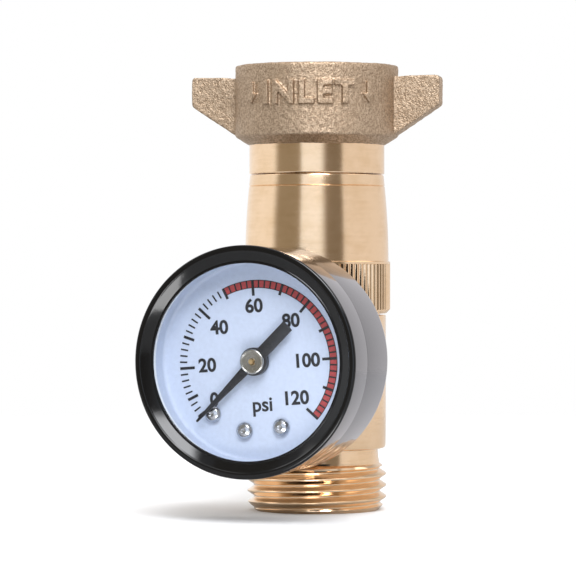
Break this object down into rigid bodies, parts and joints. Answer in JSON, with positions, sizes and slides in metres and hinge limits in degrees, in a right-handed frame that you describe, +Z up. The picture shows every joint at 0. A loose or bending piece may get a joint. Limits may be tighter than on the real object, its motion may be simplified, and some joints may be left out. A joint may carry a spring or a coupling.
{
  "type": "water pressure regulator",
  "caption": "Brass in-line water pressure regulator with a winged swivel nut at the inlet, a hose thread at the outlet and a round dial gauge on its side.",
  "frame": {"origin": "centre of the outlet end face, on the body's axis, where the hose thread ends", "axes": "+Z up the body's axis to the inlet nut; the gauge faces -Y; +X to the viewer's right"},
  "size_m": [0.0492, 0.0573, 0.086],
  "materials": {
    "turned_brass": "bright turned, fine tool lines",
    "cast_brass": "sand-cast and tumbled, fine grain",
    "movement_brass": "stamped, satin",
    "tube_bronze": "drawn phosphor bronze",
    "bright_steel": "bright plated",
    "black_enamel": "gloss black enamel",
    "dial_enamel": "pale blue-white print",
    "needle_paint": "satin black",
    "black_rubber": "moulded, matt",
    "seat_rubber": "smooth",
    "clear_lens": "clear, polished",
    "white_vinyl": "soft, matt"
  },
  "bodies": {
    "housing": {"lower_body": "turned_brass", "upper_body": "turned_brass", "inlet_tailpiece": "turned_brass", "tailpiece_seal": "black_rubber", "seat_disc": "seat_rubber", "seat_screw": "bright_steel", "inlet_washer": "black_rubber", "inlet_screen": "bright_steel", "range_spring": "bright_steel", "gauge_socket": "turned_brass", "gauge_case": "black_enamel", "gauge_bezel": "black_enamel", "lens_gasket": "white_vinyl", "gauge_lens": "clear_lens", "dial_plate": "dial_enamel", "dial_bracket": "bright_steel", "dial_screw_1": "bright_steel", "dial_screw_2": "bright_steel", "dial_screw_3": "bright_steel", "bourdon_tube": "tube_bronze", "tube_tip": "movement_brass", "movement_back_plate": "movement_brass", "movement_front_plate": "movement_brass", "movement_pillar_1": "movement_brass", "movement_pillar_2": "movement_brass", "movement_pillar_3": "movement_brass", "movement_screw_1": "bright_steel", "movement_screw_2": "bright_steel", "movement_screw_3": "bright_steel", "hairspring": "tube_bronze", "hairspring_stud": "movement_brass"},
    "nut": {"swivel_nut": "cast_brass"},
    "regulating_piston": {"piston": "turned_brass", "piston_head_seal": "black_rubber", "piston_stem_seal": "black_rubber"},
    "sector": {"sector_gear": "movement_brass"},
    "tip_link": {"link": "movement_brass"},
    "needle": {"pinion_arbor": "bright_steel", "pointer": "needle_paint", "pointer_cap": "bright_steel"}
  },
  "joints": [
    {"name": "nut_swivel", "type": "hinge", "parent": "housing", "child": "nut", "pos_m": [0, 0, 0.0725], "axis": [0, 0, 1], "continuous": true},
    {"name": "piston_slide", "type": "slide", "parent": "housing", "child": "regulating_piston", "axis": [0, 0, 1], "range_m": [0, 0.0025], "stiffness_N_per_m": 1500, "springref_m": -0.002, "deforming": ["range_spring"]},
    {"name": "sector_swing", "type": "hinge", "parent": "housing", "child": "sector", "pos_m": [0.00649, -0.0278, 0.02196], "axis": [0, -1, 0], "range_deg": [0, 30], "stiffness_Nm_per_rad": 0.02, "springref_deg": -2.86},
    {"name": "pointer_spin", "type": "hinge", "parent": "housing", "child": "needle", "pos_m": [0, -0.0358, 0.0297], "axis": [0, 1, 0], "range_deg": [0, 270]},
    {"name": "link_turn", "type": "hinge", "parent": "sector", "child": "tip_link", "pos_m": [0.00952, -0.029, 0.02021], "axis": [0, -1, 0], "range_deg": [-37.2, 0]}
  ],
  "couplings": [
    {"joint": "pointer_spin", "follows": "sector_swing", "ratio": 9},
    {"joint": "link_turn", "follows": "sector_swing", "ratio": -1.237}
  ]
}
